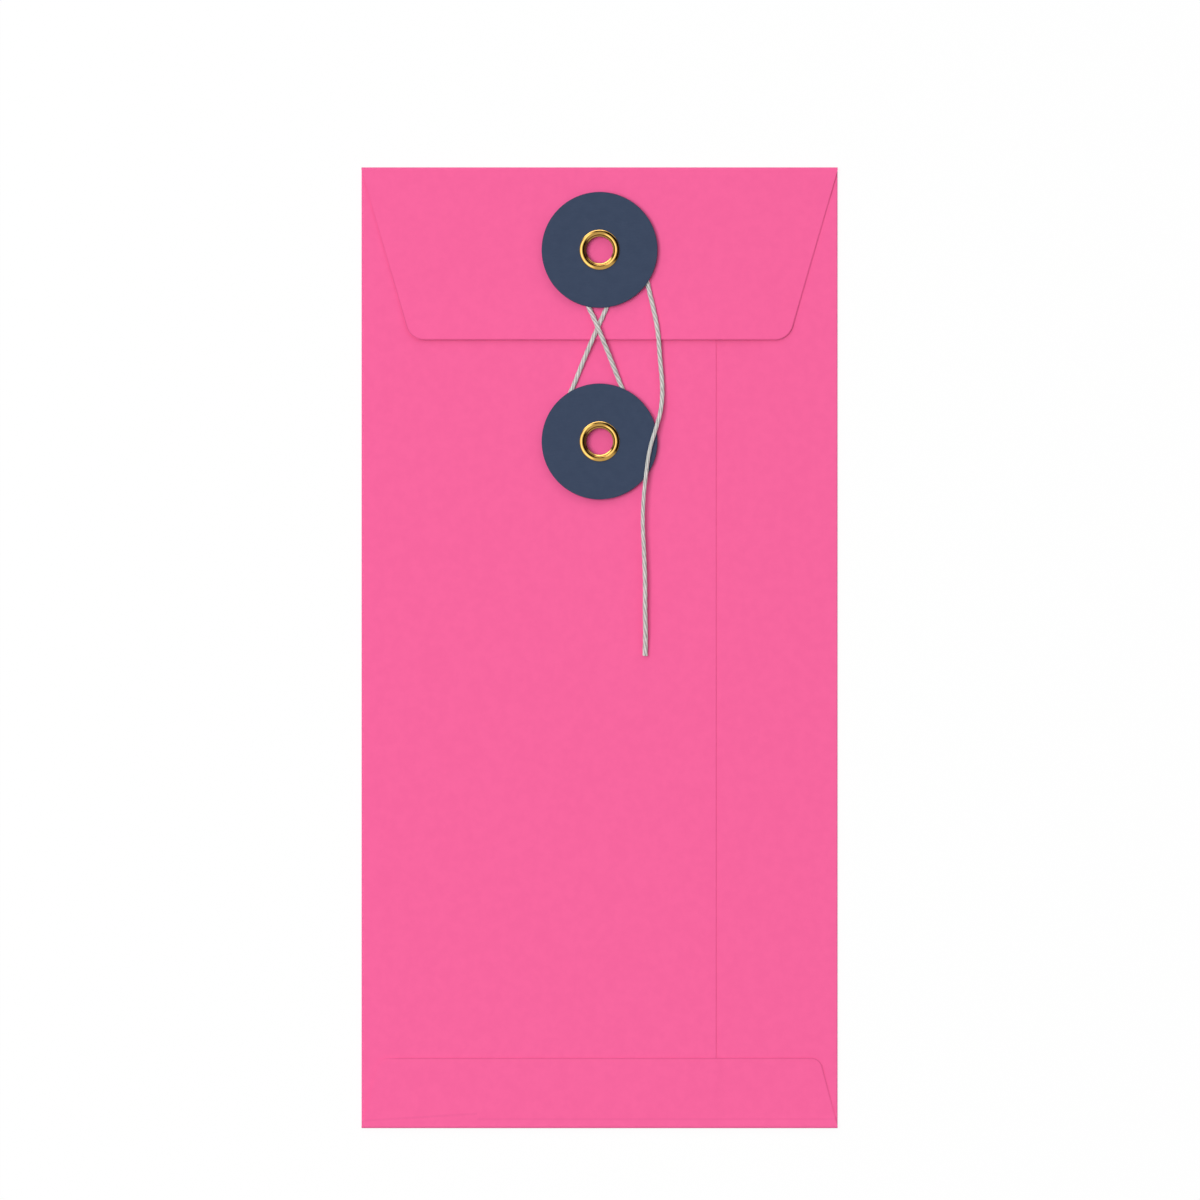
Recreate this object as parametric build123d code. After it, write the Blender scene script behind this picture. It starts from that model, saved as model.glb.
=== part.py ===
from build123d import *
import math
import os

# A string tie envelope: a slim paper pocket with a closing flap on its short side, shut by a
# string wound between two card discs. It lies on its plain face. X runs across it, +Y towards
# the flap and +Z out of the flap side. The origin is the middle of the plain face. Millimetres.

# Paper pocket
WIDTH = 109.0
LENGTH = 220.0
PAPER = 0.13
POCKET_GAP = 0.4
GLUE_FILM = 0.04

# Side panels, glued in one upright seam with the left panel on top
SEAM_FROM_LEFT = 81.2
SEAM_OVERLAP = 12.0
GLUE_MARGIN = 1.5
FOOT_RISE = 2.1
THROAT_DROP = 6.5
SHOULDER_DROP = 1.2
SHOULDER_RUN = 10.0

# Bottom flap, glued on the outside
BOTTOM_DEPTH = 16.1
BOTTOM_INSET = 4.05
BOTTOM_CORNER = 2.5

# Closing flap
FLAP_DEPTH = 39.5
FLAP_INSET = 11.2
FLAP_CORNER = 4.0
FLAP_GAP = 0.25

# Card discs
DISC = 26.5
DISC_THICKNESS = 0.5
DISC_EDGE = 0.12
UPPER_DISC_DOWN = 19.0
LOWER_DISC_DOWN = 62.8
RUNNING_CLEARANCE = 0.05

# Brass eyelets
EYELET_BORE = 6.3
EYELET_WALL = 0.25
EYELET_HEAD = 9.1
HEAD_CLEARANCE = 0.05
CLINCH = 8.8
CLINCH_THICKNESS = 0.15
CLINCH_BEND = 0.06
HOLE_CLEARANCE = 0.03

# String
STRING = 1.0
STRING_PLAY = 0.12
STRING_CLEARANCE = 0.05
CROSSING_GAP = 0.45
TIE_HALF_TURNS = 3
TIE_GAP = 0.45
TIE_LEAD = 3.4
TAIL_LIFT = 0.1
BEND_SHARE = 0.45
SAMPLE_SHARE = 0.3
NEIGHBOUR_SHARE = 4.0

# Levels of the layers, from the plain face up
right_level = PAPER + POCKET_GAP
left_level = right_level + PAPER + GLUE_FILM
pocket_top = left_level + PAPER
bottom_level = pocket_top + GLUE_FILM
flap_level = pocket_top + FLAP_GAP
flap_top = flap_level + PAPER
string_space = STRING + STRING_PLAY

# Each fold is a half ring as high as the layer that it carries
right_radius = (right_level + PAPER) / 2
left_radius = pocket_top / 2
bottom_radius = (bottom_level + PAPER) / 2
top_radius = flap_top / 2

left_edge = -WIDTH / 2
right_edge = WIDTH / 2
bottom_edge = -LENGTH / 2
top_edge = LENGTH / 2
left_bend = left_edge + left_radius
right_bend = right_edge - right_radius
bottom_bend = bottom_edge + bottom_radius
top_bend = top_edge - top_radius
seam = left_edge + SEAM_FROM_LEFT
foot = bottom_edge + FOOT_RISE
throat = top_edge - THROAT_DROP
shoulder = top_edge - SHOULDER_DROP
upper_y = top_edge - UPPER_DISC_DOWN
lower_y = top_edge - LOWER_DISC_DOWN
bore_radius = EYELET_BORE / 2
barrel_radius = bore_radius + EYELET_WALL
paper_hole = barrel_radius + HOLE_CLEARANCE


def sheet(outline, level):
    """Paper cut to an outline, lying at a level."""
    return Pos(0, 0, level) * extrude(outline, PAPER, dir=(0, 0, 1))


def bent_strip(start, radius, first_angle, turn, length):
    """Paper bent to an arc, as long as the fold. The start plane's normal runs along the fold."""
    outer = CenterArc((0, 0), radius, first_angle, turn)
    inner = CenterArc((0, 0), radius - PAPER, first_angle, turn)
    ends = [Line(outer @ 0, inner @ 0), Line(outer @ 1, inner @ 1)]
    return start * extrude(make_face([outer, inner] + ends), length)


def fold_up(x, z, y):
    """The plane that a fold along Y starts from, seen with X to the right and Z up."""
    return Plane((x, y, z), x_dir=(1, 0, 0), z_dir=(0, -1, 0))


def fold_across(y, z, x):
    """The plane that a fold along X starts from, seen with Y to the right and Z up."""
    return Plane((x, y, z), x_dir=(0, 1, 0), z_dir=(1, 0, 0))


def tapered_flap(bend, tip, bend_half, tip_half, corner):
    """The outline of a flap that narrows from its fold to its tip, with round tip corners."""
    outline = Polygon((-bend_half, bend), (-tip_half, tip), (tip_half, tip), (bend_half, bend))
    tip_corners = outline.vertices().sort_by_distance((0, tip))[0:2]
    return fillet(tip_corners, corner)


def glue_film(left, right, low, high, level, thickness):
    """A rectangle of dried glue between two sheets."""
    middle = Pos((left + right) / 2, (low + high) / 2, level)
    return middle * extrude(Rectangle(right - left, high - low), thickness)


def disc(y, paper_top):
    """A card disc held above the paper, with room for the string under it."""
    blank = Circle(DISC / 2) - Circle(barrel_radius + RUNNING_CLEARANCE)
    solid = extrude(blank, DISC_THICKNESS)
    rims = solid.edges().filter_by(GeomType.CIRCLE).group_by(SortBy.RADIUS)[-1]
    return Pos(0, y, paper_top + string_space) * fillet(rims, DISC_EDGE)


def eyelet(y, paper_top):
    """A brass tube with a curled head on the disc and a flat clinch under the paper."""
    seat = paper_top - PAPER
    clinch_face = seat - CLINCH_THICKNESS
    rim = paper_top + string_space + DISC_THICKNESS + HEAD_CLEARANCE
    head_radius = EYELET_HEAD / 2
    crest_radius = (bore_radius + head_radius) / 2
    curl = head_radius - crest_radius
    bend_start = (bore_radius + CLINCH_BEND, clinch_face)
    bend_end = (bore_radius, clinch_face + CLINCH_BEND)
    outline = [
        Polyline(
            bend_start,
            (CLINCH / 2, clinch_face),
            (CLINCH / 2, seat),
            (barrel_radius, seat),
            (barrel_radius, rim),
        ),
        CenterArc((crest_radius, rim), curl - EYELET_WALL, 180, -180),
        Line((head_radius - EYELET_WALL, rim), (head_radius, rim)),
        CenterArc((crest_radius, rim), curl, 0, 180),
        Line((bore_radius, rim), bend_end),
        RadiusArc(bend_end, bend_start, CLINCH_BEND),
    ]
    return Pos(0, y, 0) * revolve(Plane.XZ * make_face(outline), Axis.Z)


# Heights of the string's centreline where it lies on each surface
on_flap = flap_top + STRING / 2 + STRING_CLEARANCE
on_pocket = pocket_top + STRING / 2 + STRING_CLEARANCE
over_strand = on_flap + STRING + CROSSING_GAP
over_disc = pocket_top + string_space + DISC_THICKNESS + STRING / 2 + TAIL_LIFT

# The fixed end: half turns round the upper barrel, each wider than the last
tie_radius = barrel_radius + STRING_CLEARANCE + STRING / 2
tie_step = (STRING + TIE_GAP) / 2
tie_turns = []
for half_turn in range(TIE_HALF_TURNS):
    odd = half_turn % 2
    centre = (-tie_step * odd, upper_y)
    radius = tie_radius + tie_step * half_turn
    tie_turns.append(CenterArc(centre, radius, 180 * (1 - odd), -180))
tie_path = Pos(0, 0, on_flap) * Wire(tie_turns)
tie_end = tie_path @ 1

# The rest of the string's route, point by point: the first strand down to the lower disc, the
# turn under it, the second strand back over the first, the turn under the upper disc, the tail.
# Each point is a distance right of the discs, a distance above a disc's centre, and a height.
ROUTE = {
    "string_first_strand": [
        (tie_end.X, upper_y, 0, on_flap),
        (tie_end.X, upper_y, -TIE_LEAD, on_flap),
        (4.25, upper_y, -7.6, on_flap),
        (1.75, upper_y, -12.8, on_flap),
        (-2.05, upper_y, -21.4, on_flap),
        (-3.70, lower_y, 18.5, on_pocket),
    ],
    "string_lower_turn": [
        (-6.10, lower_y, 12.4, on_pocket),
        (-8.90, lower_y, 6.4, on_pocket),
        (-10.60, lower_y, 0.8, on_pocket),
        (-9.70, lower_y, -4.9, on_pocket),
        (-5.90, lower_y, -9.0, on_pocket),
        (-0.40, lower_y, -10.5, on_pocket),
        (5.00, lower_y, -8.8, on_pocket),
        (8.60, lower_y, -4.6, on_pocket),
        (9.20, lower_y, 1.0, on_pocket),
        (7.50, lower_y, 6.6, on_pocket),
    ],
    "string_second_strand": [
        (5.00, lower_y, 12.5, on_pocket),
        (2.40, lower_y, 19.2, (on_pocket + on_flap) / 2 + STRING / 2),
        (0.10, upper_y, -18.9, over_strand),
        (-0.90, upper_y, -16.55, over_strand),
        (-2.15, upper_y, -13.75, on_flap + STRING_CLEARANCE),
    ],
    "string_upper_turn": [
        (-4.90, upper_y, -8.4, on_flap),
        (-7.60, upper_y, -3.6, on_flap),
        (-8.50, upper_y, 2.0, on_flap),
        (-6.50, upper_y, 7.2, on_flap),
        (-1.90, upper_y, 10.5, on_flap),
        (3.70, upper_y, 10.6, on_flap),
        (8.40, upper_y, 7.5, on_flap),
        (9.90, upper_y, 2.4, on_flap),
        (10.20, upper_y, -2.8, on_flap),
    ],
    "string_tail": [
        (11.00, upper_y, -8.0, on_flap),
        (12.30, upper_y, -13.2, on_flap),
        (13.40, upper_y, -18.8, on_flap),
        (13.80, upper_y, -24.8, on_flap + STRING / 4),
        (14.25, lower_y, 12.8, (on_flap + over_disc) / 2),
        (13.95, lower_y, 7.4, over_disc - STRING / 4),
        (12.70, lower_y, 2.8, over_disc),
        (11.30, lower_y, -2.0, over_disc),
        (10.65, lower_y, -8.6, over_disc),
        (10.20, lower_y, -13.8, (over_disc + on_pocket) / 2),
        (9.95, lower_y, -19.4, on_pocket + STRING / 6),
        (10.10, lower_y, -25.6, on_pocket),
        (10.42, lower_y, -32.0, on_pocket),
        (10.38, lower_y, -38.6, on_pocket),
        (10.55, lower_y, -44.4, on_pocket),
        (10.40, lower_y, -49.2, on_pocket),
    ],
}


def bend_radius(before, here, after):
    """The largest arc that fits a corner of the route and leaves some of each run straight."""
    coming = here - before
    going = after - here
    shorter = min(coming.length, going.length)
    return BEND_SHARE * shorter / math.tan(math.radians(coming.get_angle(going)) / 2)


def string_tube(path):
    """A round string along a path."""
    return sweep(Plane(path @ 0, z_dir=path % 0) * Circle(STRING / 2), path)


string_paths = {"string_tie": tie_path}
points = [Vector(x, y + up, z) for stretch in ROUTE.values() for x, y, up, z in stretch]
radii = [bend_radius(*corner) for corner in zip(points, points[1:], points[2:])]
first = 0
for name, stretch in ROUTE.items():
    last = first + len(stretch)
    corners = points[max(first, 1):min(last, len(points) - 1)]
    corner_radii = radii[max(first, 1) - 1:last - 1]
    start = points[0] if first == 0 else (points[first - 1] + points[first]) / 2
    end = points[-1] if last == len(points) else (points[last - 1] + points[last]) / 2
    string_paths[name] = FilletPolyline([start] + corners + [end], radius=corner_radii)
    first = last

# The pieces
crease_half = right_edge - FLAP_INSET * top_radius / FLAP_DEPTH
closing_outline = tapered_flap(
    top_bend, top_edge - FLAP_DEPTH, crease_half, right_edge - FLAP_INSET, FLAP_CORNER
)
bottom_half = right_edge - BOTTOM_INSET * bottom_radius / BOTTOM_DEPTH
bottom_tip = bottom_edge + BOTTOM_DEPTH
bottom_outline = tapered_flap(
    bottom_bend, bottom_tip, bottom_half, right_edge - BOTTOM_INSET, BOTTOM_CORNER
)
left_outline = Polygon(
    (left_bend, foot),
    (seam, foot),
    (seam, throat),
    (left_bend + SHOULDER_RUN, throat),
    (left_bend, shoulder),
)
right_outline = Polygon(
    (seam - SEAM_OVERLAP, foot),
    (right_bend, foot),
    (right_bend, shoulder),
    (right_bend - SHOULDER_RUN, throat),
    (seam - SEAM_OVERLAP, throat),
)
plain_outline = Polygon(
    (left_edge, bottom_bend),
    (right_edge, bottom_bend),
    (right_edge, foot),
    (right_bend, foot),
    (right_bend, shoulder),
    (right_edge, shoulder),
    (right_edge, top_bend),
    (left_edge, top_bend),
    (left_edge, shoulder),
    (left_bend, shoulder),
    (left_bend, foot),
    (left_edge, foot),
)
upper_hole = Pos(0, upper_y) * Circle(paper_hole)
lower_hole = Pos(0, lower_y) * Circle(paper_hole)
crease_start = fold_across(top_bend, top_radius, -crease_half)
glue_low = foot + GLUE_MARGIN
glue_high = bottom_tip - GLUE_MARGIN
glue_inset = BOTTOM_INSET + GLUE_MARGIN

pieces = {
    "address_panel": sheet(plain_outline, 0),
    "left_fold": bent_strip(
        fold_up(left_bend, left_radius, shoulder), left_radius, 90, 180, shoulder - foot
    ),
    "right_fold": bent_strip(
        fold_up(right_bend, right_radius, shoulder), right_radius, -90, 180, shoulder - foot
    ),
    "right_side_panel": sheet(right_outline, right_level),
    "side_seam_glue": glue_film(
        seam - SEAM_OVERLAP + GLUE_MARGIN,
        seam - GLUE_MARGIN,
        glue_low,
        throat - GLUE_MARGIN,
        right_level + PAPER,
        GLUE_FILM,
    ),
    "left_side_panel": sheet(left_outline - lower_hole, left_level),
    "bottom_fold": bent_strip(
        fold_across(bottom_bend, bottom_radius, -bottom_half), bottom_radius, 90, 180, 2 * bottom_half
    ),
    "bottom_glue_left": glue_film(
        left_edge + glue_inset, seam - GLUE_MARGIN, glue_low, glue_high, pocket_top, GLUE_FILM
    ),
    "bottom_glue_right": glue_film(
        seam + GLUE_MARGIN,
        right_edge - glue_inset,
        glue_low,
        glue_high,
        right_level + PAPER,
        bottom_level - right_level - PAPER,
    ),
    "bottom_flap": sheet(bottom_outline, bottom_level),
    "crease_pocket_half": bent_strip(crease_start, top_radius, -90, 90, 2 * crease_half),
    "crease_flap_half": bent_strip(crease_start, top_radius, 0, 90, 2 * crease_half),
    "closing_flap": sheet(closing_outline - upper_hole, flap_level),
    "upper_disc": disc(upper_y, flap_top),
    "lower_disc": disc(lower_y, pocket_top),
    "upper_eyelet": eyelet(upper_y, flap_top),
    "lower_eyelet": eyelet(lower_y, pocket_top),
}
for name, path in string_paths.items():
    pieces[name] = string_tube(path)

os.makedirs("parts", exist_ok=True)
for name, solid in pieces.items():
    export_step(solid, f"parts/{name}.step")

# The string's own figures
section = math.pi * STRING**2 / 4
samples = []
for name, path in string_paths.items():
    share = pieces[name].volume / (section * path.length)
    print(f"{name}: {path.length:.1f} mm long, volume {share:.4f} of section times length")
    steps = math.ceil(path.length / (SAMPLE_SHARE * STRING))
    samples += [path @ (step / steps) for step in range(steps)]
print("bend radii:", " ".join(f"{radius:.1f}" for radius in radii))
skip = math.ceil(NEIGHBOUR_SHARE / SAMPLE_SHARE)
nearest = min(
    (far - near).length
    for index, near in enumerate(samples)
    for far in samples[index + skip:]
)
print(f"string length {sum(path.length for path in string_paths.values()):.1f} mm")
print(f"least gap of the string to itself {nearest - STRING:.2f} mm")
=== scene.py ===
import math

import bmesh
import bpy
from mathutils import Matrix, Vector
from mathutils.kdtree import KDTree


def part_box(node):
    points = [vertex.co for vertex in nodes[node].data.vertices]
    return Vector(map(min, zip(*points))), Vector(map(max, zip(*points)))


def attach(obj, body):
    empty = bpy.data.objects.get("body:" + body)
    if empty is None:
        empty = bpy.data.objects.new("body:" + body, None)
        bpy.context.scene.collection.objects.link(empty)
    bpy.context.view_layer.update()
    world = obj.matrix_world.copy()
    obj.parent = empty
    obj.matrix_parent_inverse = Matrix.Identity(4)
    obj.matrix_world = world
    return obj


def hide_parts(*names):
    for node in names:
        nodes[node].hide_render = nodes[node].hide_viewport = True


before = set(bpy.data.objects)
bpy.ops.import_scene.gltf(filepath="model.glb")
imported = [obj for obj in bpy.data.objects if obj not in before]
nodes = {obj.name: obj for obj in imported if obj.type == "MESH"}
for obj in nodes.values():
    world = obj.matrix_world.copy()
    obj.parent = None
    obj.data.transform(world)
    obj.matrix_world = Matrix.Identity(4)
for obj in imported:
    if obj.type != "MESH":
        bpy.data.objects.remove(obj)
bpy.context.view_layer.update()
MM = 0.001

# The view. The envelope lies flat and is seen from straight above with a long lens, so that its
# sides stay parallel. The picture is square and about 275 mm wide at the paper.
VIEW_WIDTH = 274.7 * MM
VIEW_CENTRE = Vector((0.1 * MM, 10.94 * MM, 1.0 * MM))
LENS = 200.0
SENSOR = 36.0

camera = bpy.data.objects.new("camera", bpy.data.cameras.new("camera"))
camera.data.lens = LENS
camera.data.sensor_width = SENSOR
camera.location = VIEW_CENTRE + Vector((0, 0, VIEW_WIDTH * LENS / SENSOR))
bpy.context.scene.collection.objects.link(camera)
bpy.context.scene.camera = camera
bpy.context.scene.view_settings.view_transform = "Standard"

# The light. One large soft lamp hangs high on the left, and an even room light with a pale wall at
# the flap end fills the shadows. The brass mirrors a bright screen on the left, a black one on the
# right, a dim ceiling and walls. Each pair below says where an edge fades, as a part of a direction.
KEY_DIRECTION = Vector((-0.30, 0.04, 0.945)).normalized()
KEY_DISTANCE = 3.0
KEY_SIZE = 1.6
KEY_POWER = 63.5
ROOM_LIGHT = 0.22
PALE_WALL = 0.95
PALE_WALL_FOOT = (0.30, 0.45)
PALE_WALL_TOP = (0.82, 0.93)
PALE_WALL_SIDE = (0.20, 0.55)
SIDE_WALLS = 0.55
FLAP_END_WALL = 0.12
FLAP_END_SIDE = (0.20, 0.50)
CEILING = 0.50
CEILING_EDGE = (0.96, 0.995)
BRIGHT_SCREEN = 1.65
SCREEN_FOOT = (0.35, 0.65)
SCREEN_TOP = (0.93, 0.99)
SCREEN_SIDE = (-0.55, -0.20)
TABLE_EDGE = 0.3
TABLE_EDGE_TOP = (0.10, 0.20)
LOW_WALL = 3.2
LOW_WALL_TOP = (0.24, 0.33)
LOW_WALL_SIDE = (0.48, 0.78)
BLACK_SCREEN = 0.005
BLACK_TURN = math.radians(20.0)
BLACK_SIDE = (0.42, 0.72)
BLACK_TOP = (0.10, 0.30)
BLACK_FOOT = (0.24, 0.36)
BLACK_FOOT_SHARE = 0.80
LEAST_LEVEL = 0.001

key = bpy.data.objects.new("key_lamp", bpy.data.lights.new("key_lamp", "AREA"))
key.data.shape = "SQUARE"
key.data.size = KEY_SIZE
key.data.energy = KEY_POWER
key.location = VIEW_CENTRE + KEY_DIRECTION * KEY_DISTANCE
key.rotation_euler = KEY_DIRECTION.to_track_quat("Z", "Y").to_euler()
key.visible_glossy = False
bpy.context.scene.collection.objects.link(key)


class Nodes:
    """A node tree being filled, with short calls to add nodes and join their sockets."""

    def __init__(self, tree):
        self.tree = tree

    def add(self, kind, **values):
        """Adds a node. A value goes to the node's own setting or else to its input socket."""
        node = self.tree.nodes.new(kind)
        for name, value in values.items():
            if hasattr(node, name):
                setattr(node, name, value)
            else:
                self.put(value, node.inputs[name.replace("_", " ")])
        return node

    def put(self, value, socket):
        """Joins an output to a socket, or writes a plain value on it."""
        if isinstance(value, bpy.types.NodeSocket):
            self.tree.links.new(value, socket)
        else:
            socket.default_value = value

    def math(self, operation, *values, clamp=False):
        node = self.add("ShaderNodeMath", operation=operation, use_clamp=clamp)
        for value, socket in zip(values, node.inputs):
            self.put(value, socket)
        return node.outputs[0]

    def ramp(self, value, low, high, out_low=0.0, out_high=1.0):
        """Carries a value smoothly from one range to another."""
        node = self.add("ShaderNodeMapRange", interpolation_type="SMOOTHSTEP")
        for given, socket in zip((value, low, high, out_low, out_high), node.inputs):
            self.put(given, socket)
        return node.outputs["Result"]

    def mix(self, share, first, second):
        node = self.add("ShaderNodeMix", data_type="RGBA")
        self.put(share, node.inputs[0])
        self.put(first, node.inputs[6])
        self.put(second, node.inputs[7])
        return node.outputs[2]


def grey(level):
    return (level, level, level, 1.0)


room = bpy.data.worlds.new("room")
room.use_nodes = True
room.node_tree.nodes.clear()
bpy.context.scene.world = room
n = Nodes(room.node_tree)
direction = n.add("ShaderNodeTexCoord").outputs["Generated"]
part = n.add("ShaderNodeSeparateXYZ", Vector=direction).outputs
height = part["Z"]
level = n.math("SQRT", n.math("SUBTRACT", 1.0, n.math("MULTIPLY", height, height)))
level_found = n.math("MAXIMUM", level, LEAST_LEVEL)
side = n.math("DIVIDE", part["X"], level_found)
flap_end = n.math("DIVIDE", part["Y"], level_found)
walls = n.mix(n.ramp(part["Y"], *FLAP_END_SIDE), grey(SIDE_WALLS), grey(FLAP_END_WALL))
walls = n.mix(n.ramp(height, *CEILING_EDGE), walls, grey(CEILING))
screen = n.math("MULTIPLY", n.ramp(height, *SCREEN_FOOT), n.ramp(height, *SCREEN_TOP, 1.0, 0.0))
screen = n.math("MULTIPLY", screen, n.ramp(side, *SCREEN_SIDE, 1.0, 0.0))
walls = n.mix(screen, walls, grey(BRIGHT_SCREEN))
walls = n.mix(n.ramp(height, *TABLE_EDGE_TOP, 1.0, 0.0), walls, grey(TABLE_EDGE))
low_wall = n.ramp(height, *LOW_WALL_TOP, 1.0, 0.0)
low_wall = n.math("MULTIPLY", low_wall, n.ramp(part["Y"], *LOW_WALL_SIDE))
walls = n.mix(low_wall, walls, grey(LOW_WALL))
black_side = n.math("MULTIPLY", side, math.cos(BLACK_TURN))
black_side = n.math("MULTIPLY_ADD", flap_end, math.sin(BLACK_TURN), black_side)
black = n.math("MULTIPLY", n.ramp(black_side, *BLACK_SIDE), n.ramp(level, *BLACK_TOP))
black = n.math("MULTIPLY", black, n.ramp(height, *BLACK_FOOT, BLACK_FOOT_SHARE, 1.0))
walls = n.mix(black, walls, grey(BLACK_SCREEN))
ray = n.add("ShaderNodeLightPath").outputs
mirrored = n.math("ADD", ray["Is Glossy Ray"], ray["Is Transmission Ray"], clamp=True)
pale_wall = n.math(
    "MULTIPLY",
    n.ramp(height, *PALE_WALL_FOOT),
    n.ramp(height, *PALE_WALL_TOP, 1.0, 0.0),
)
pale_wall = n.math("MULTIPLY", pale_wall, n.ramp(flap_end, *PALE_WALL_SIDE))
shown = n.mix(mirrored, n.mix(pale_wall, grey(ROOM_LIGHT), grey(PALE_WALL)), walls)
background = n.add("ShaderNodeBackground", Color=n.mix(ray["Is Camera Ray"], shown, grey(1.0)))
n.add("ShaderNodeOutputWorld", Surface=background.outputs[0])

# The floor. A wide white table under the envelope, which looks white and still takes its shadow.
# It is low enough for the tip of the opened flap, which bends down a little.
FLOOR_SIZE = 12.0
FLOOR_DROP = 0.42 * MM
FLOOR_WHITE_SHARE = 0.88
FLOOR_PAINT = 0.97

bm = bmesh.new()
bmesh.ops.create_grid(bm, x_segments=1, y_segments=1, size=FLOOR_SIZE / 2)
bmesh.ops.translate(bm, verts=bm.verts, vec=(0, 0, -FLOOR_DROP))
floor_mesh = bpy.data.meshes.new("floor")
bm.to_mesh(floor_mesh)
bm.free()
floor = bpy.data.objects.new("floor", floor_mesh)
bpy.context.scene.collection.objects.link(floor)
white = bpy.data.materials.new("white_table")
white.use_nodes = True
white.node_tree.nodes.clear()
n = Nodes(white.node_tree)
ray = n.add("ShaderNodeLightPath").outputs
seen = n.math("ADD", ray["Is Camera Ray"], ray["Is Glossy Ray"])
seen = n.math("ADD", seen, ray["Is Transmission Ray"], clamp=True)
share = n.math("MULTIPLY", seen, FLOOR_WHITE_SHARE)
matt = n.add("ShaderNodeBsdfDiffuse", Color=grey(FLOOR_PAINT)).outputs[0]
glow = n.add("ShaderNodeEmission", Color=grey(1.0)).outputs[0]
surface = n.add("ShaderNodeMixShader")
for value, socket in zip((share, matt, glow), surface.inputs):
    n.put(value, socket)
n.add("ShaderNodeOutputMaterial", Surface=surface.outputs[0])
floor.data.materials.append(white)

# The paper pocket. One sheet of uncoated paper dyed pink all through, cut and creased on a press,
# then folded: here its plain face and its two side panels.
PINK = (0.912, 0.1265, 0.3345, 1.0)
PINK_PALE = (0.937, 0.1335, 0.3465, 1.0)
# The darker pink is painted shade, for cut edges and pressed lines.
PINK_SHADE = (0.70, 0.085, 0.24, 1.0)
CLOUD_SCALE = 420.0
CLOUD_ROUGHNESS = 0.62
CLOUD_RANGE = (0.30, 0.70)
FIBRE_TURNS = (0.6, 2.2, -0.7)
FIBRE_STRETCH = (0.22, 1.0, 1.0)
TOOTH_RANGE = (0.4, 0.8)
TOOTH_DEPTH = 0.03 * MM
PAPER_FIBRE = 2600.0
PAPER_TOOTH = 0.35
PAPER_ROUGHNESS = (0.80, 0.95)
PAPER_GLOSS = 0.25
EDGE_SHADE_SHARE = 0.9
PRESSED_SHADE_SHARE = 0.16
PRESSED_HEIGHT = 0.5
# The left panel's edge at the seam is darkened with painted shade.
SEAM_SHADE_REACH = 0.30 * MM
SEAM_SHADE_FULL = 0.10 * MM
SEAM_SHADE_SHARE = 0.22


def fibre_stock_group():
    """Felted fibres: soft clouds and a crossed fibre tooth, from a place."""
    group = bpy.data.node_groups.new("fibre_stock", "ShaderNodeTree")
    group.interface.new_socket("Vector", in_out="INPUT", socket_type="NodeSocketVector")
    group.interface.new_socket("Fibre", in_out="INPUT", socket_type="NodeSocketFloat")
    for name in ("Cloud", "Tooth"):
        group.interface.new_socket(name, in_out="OUTPUT", socket_type="NodeSocketFloat")
    n = Nodes(group)
    given = n.add("NodeGroupInput").outputs
    out = n.add("NodeGroupOutput")
    cloud = n.add("ShaderNodeTexNoise", Vector=given["Vector"], Scale=CLOUD_SCALE, Detail=5.0)
    n.put(CLOUD_ROUGHNESS, cloud.inputs["Roughness"])
    n.put(cloud.outputs["Fac"], out.inputs["Cloud"])
    tooth = None
    for turn in FIBRE_TURNS:
        laid = n.add("ShaderNodeMapping", Vector=given["Vector"], Rotation=(0, 0, turn))
        n.put(FIBRE_STRETCH, laid.inputs["Scale"])
        fibres = n.add("ShaderNodeTexNoise", Vector=laid.outputs[0], Scale=given["Fibre"], Detail=3.0)
        height = fibres.outputs["Fac"]
        tooth = height if tooth is None else n.math("MAXIMUM", tooth, height)
    n.put(tooth, out.inputs["Tooth"])
    return group


fibre_stock = fibre_stock_group()


def new_material(name):
    """An empty node material, its node tree, and its Principled shader joined to the output."""
    material = bpy.data.materials.new(name)
    material.use_nodes = True
    material.node_tree.nodes.clear()
    n = Nodes(material.node_tree)
    shader = n.add("ShaderNodeBsdfPrincipled")
    n.add("ShaderNodeOutputMaterial", Surface=shader.outputs[0])
    return material, n, shader


def fibre_stock_node(n, fibre):
    """The fibre stock group placed in a material, on Object coordinates."""
    place = n.add("ShaderNodeTexCoord").outputs["Object"]
    stock = n.add("ShaderNodeGroup", node_tree=fibre_stock)
    n.put(place, stock.inputs["Vector"])
    n.put(fibre, stock.inputs["Fibre"])
    return stock.outputs


def pink_sheet(name, pressed=None, shaded_edge=None):
    """Pink paper. A function may give a mask of lines pressed through it from below, which the bump
    raises and painted shade darkens, and another a mask of painted shade along its cut edge, which
    is else an attribute of the piece."""
    material, n, shader = new_material(name)
    stock = fibre_stock_node(n, PAPER_FIBRE)
    tint = n.mix(n.ramp(stock["Cloud"], *CLOUD_RANGE), PINK, PINK_PALE)
    if shaded_edge:
        cut = shaded_edge(n)
    else:
        cut = n.add("ShaderNodeAttribute", attribute_name="cut_edge").outputs["Fac"]
    # Painted shade darkens the pink along the cut edge.
    tint = n.mix(n.math("MULTIPLY", cut, EDGE_SHADE_SHARE), tint, PINK_SHADE)
    height = stock["Tooth"]
    if pressed:
        line = pressed(n)
        # Painted shade darkens the pressed line as well.
        tint = n.mix(n.math("MULTIPLY", line, PRESSED_SHADE_SHARE), tint, PINK_SHADE)
        height = n.math("ADD", height, n.math("MULTIPLY", line, PRESSED_HEIGHT))
    n.put(tint, shader.inputs["Base Color"])
    n.put(n.ramp(stock["Tooth"], *TOOTH_RANGE, *PAPER_ROUGHNESS), shader.inputs["Roughness"])
    n.put(PAPER_GLOSS, shader.inputs["Specular IOR Level"])
    bump = n.add("ShaderNodeBump", Strength=PAPER_TOOTH, Distance=TOOTH_DEPTH, Height=height)
    n.put(bump.outputs[0], shader.inputs["Normal"])
    return material


def cover(names, material):
    """Gives CAD nodes a material of their own."""
    for name in names:
        nodes[name].data.materials.clear()
        nodes[name].data.materials.append(material)


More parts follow.
